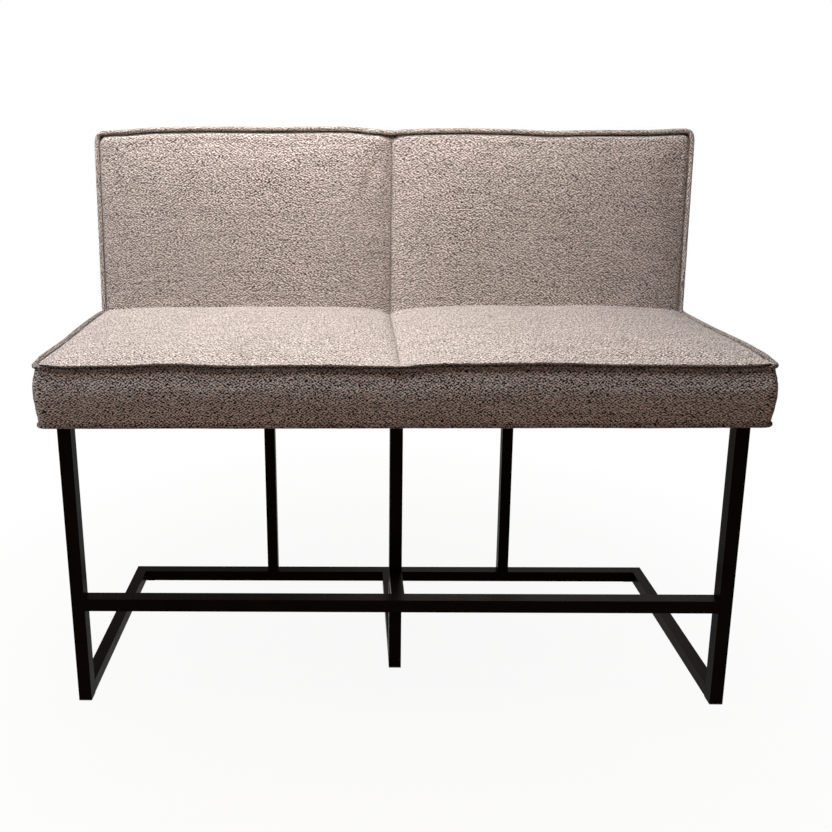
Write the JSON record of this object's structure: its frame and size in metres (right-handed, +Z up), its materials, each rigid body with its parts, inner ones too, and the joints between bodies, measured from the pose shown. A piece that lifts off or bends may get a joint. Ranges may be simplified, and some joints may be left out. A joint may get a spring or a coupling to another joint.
{
  "type": "bar bench",
  "caption": "Upholstered counter-height bar bench with a seamed back and seat on a black square-tube frame with a footrest bar",
  "frame": {"origin": "centre of the bounding box on the floor", "axes": "+X along the bench to the right as seen from the front, +Y to the back, +Z up"},
  "size_m": [1.309, 0.534, 1.0829],
  "materials": {
    "frame_black": "satin black powder coat",
    "foot_nylon": "matt black nylon",
    "screw_zinc": "zinc plated",
    "timber": "planed softwood",
    "plywood": "plywood",
    "foam": "upholstery foam",
    "wadding": "polyester wadding",
    "cover_cloth": "chunky woven greige cloth with dark and pale flecks",
    "dust_cloth": "black non-woven cloth"
  },
  "bodies": {
    "root": {"front_leg_left": "frame_black", "front_leg_right": "frame_black", "side_runner_left": "frame_black", "side_runner_right": "frame_black", "rear_floor_rail": "frame_black", "footrest_bar": "frame_black", "middle_leg": "frame_black", "middle_runner": "frame_black", "footrest_stub": "frame_black", "rear_upright_left": "frame_black", "rear_upright_right": "frame_black", "front_plate_left": "frame_black", "front_plate_right": "frame_black", "middle_plate": "frame_black", "rear_plate_left": "frame_black", "rear_plate_right": "frame_black", "plug_feet": "foot_nylon", "rail_pads": "foot_nylon", "plate_screws": "screw_zinc", "stile_screws": "screw_zinc", "seat_front_rail": "timber", "seat_rear_rail": "timber", "seat_side_rail_left": "timber", "seat_side_rail_right": "timber", "seat_centre_rail": "timber", "corner_blocks": "timber", "back_stile_left": "timber", "back_stile_centre": "timber", "back_stile_right": "timber", "back_top_rails": "timber", "seat_deck": "plywood", "back_board": "plywood", "seat_foam_left": "foam", "seat_foam_right": "foam", "back_foam_left": "foam", "back_foam_right": "foam", "seat_wadding": "wadding", "back_edge_wadding": "wadding", "seat_panel_left": "cover_cloth", "seat_panel_right": "cover_cloth", "seat_front_border": "cover_cloth", "seat_side_border_left": "cover_cloth", "seat_side_border_right": "cover_cloth", "seat_top_welt": "cover_cloth", "seat_bottom_welt": "cover_cloth", "back_panel_left": "cover_cloth", "back_panel_right": "cover_cloth", "back_side_border_left": "cover_cloth", "back_side_border_right": "cover_cloth", "back_top_border": "cover_cloth", "back_welt": "cover_cloth", "back_outer_panel": "cover_cloth", "dust_cover": "dust_cloth"}
  },
  "joints": []
}
